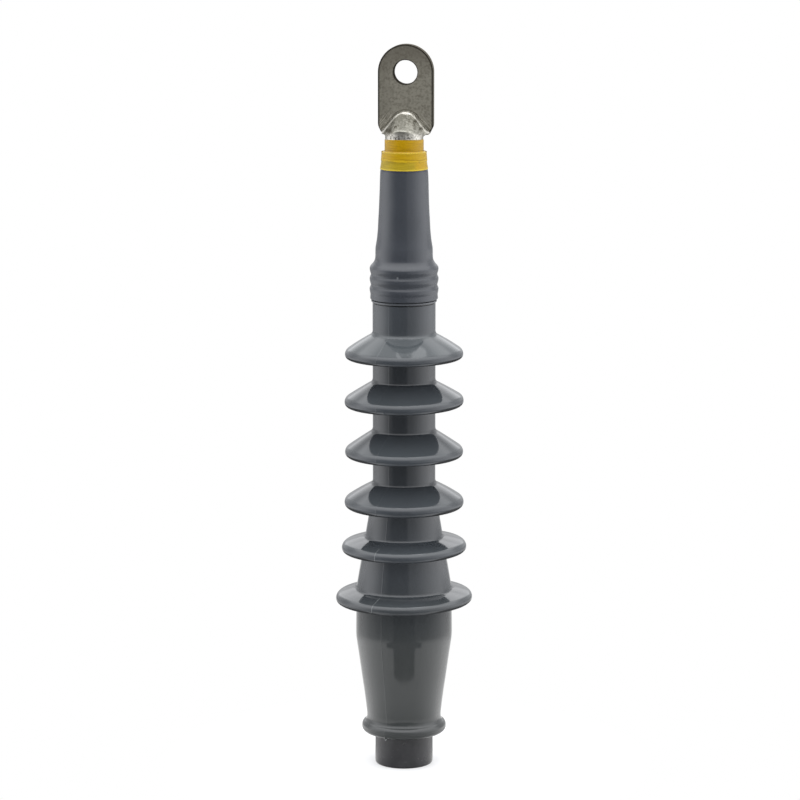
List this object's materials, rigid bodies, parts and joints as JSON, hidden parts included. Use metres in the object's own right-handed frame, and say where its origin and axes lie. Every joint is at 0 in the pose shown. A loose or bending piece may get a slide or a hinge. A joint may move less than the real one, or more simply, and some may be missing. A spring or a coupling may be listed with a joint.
{
  "type": "cable termination",
  "caption": "Outdoor termination of one cable core: drilled lug with yellow phase tape, sealing sleeve, moulded silicone body with sheds and beaded mouth, and a short cable stub.",
  "frame": {"origin": "middle of the cut lower end of the cable, on the cable's axis", "axes": "+Z along the cable up to the lug's tip; the palm's contact face looks along +Y, and the ramp between barrel and palm looks along -Y"},
  "size_m": [0.1242, 0.1242, 0.6615],
  "materials": {
    "conductor_copper": "bare copper wires, pressed smooth",
    "conductor_screen": "black semiconductive polymer",
    "cable_insulation": "natural cross-linked polyethylene",
    "insulation_screen": "black semiconductive polymer",
    "copper_tape": "bare copper tape",
    "semiconductive_tape": "black self-bonding tape",
    "core_sleeve": "dark grey shrunk sleeve, dull",
    "stress_cone": "black conductive silicone",
    "body_silicone": "dark grey silicone, satin",
    "sealing_mastic": "black mastic, dull",
    "sleeve_silicone": "dark grey silicone, satin",
    "tinned_copper": "tin-plated copper gone dull",
    "phase_tape": "yellow vinyl tape"
  },
  "bodies": {
    "root": {"conductor_centre_wire": "conductor_copper", "conductor_wires_1": "conductor_copper", "conductor_wires_2": "conductor_copper", "conductor_wires_3": "conductor_copper", "conductor_wires_4": "conductor_copper", "conductor_screen": "conductor_screen", "cable_insulation": "cable_insulation", "insulation_screen": "insulation_screen", "copper_tape_screen": "copper_tape", "semiconductive_tape": "semiconductive_tape", "core_sleeve": "core_sleeve", "stress_cone": "stress_cone", "termination_body": "body_silicone", "mouth_sealing_mastic": "sealing_mastic", "lug_filling_mastic": "sealing_mastic", "sealing_sleeve": "sleeve_silicone", "terminal_lug": "tinned_copper", "lug_phase_tape": "phase_tape", "sleeve_phase_tape": "phase_tape"}
  },
  "joints": []
}
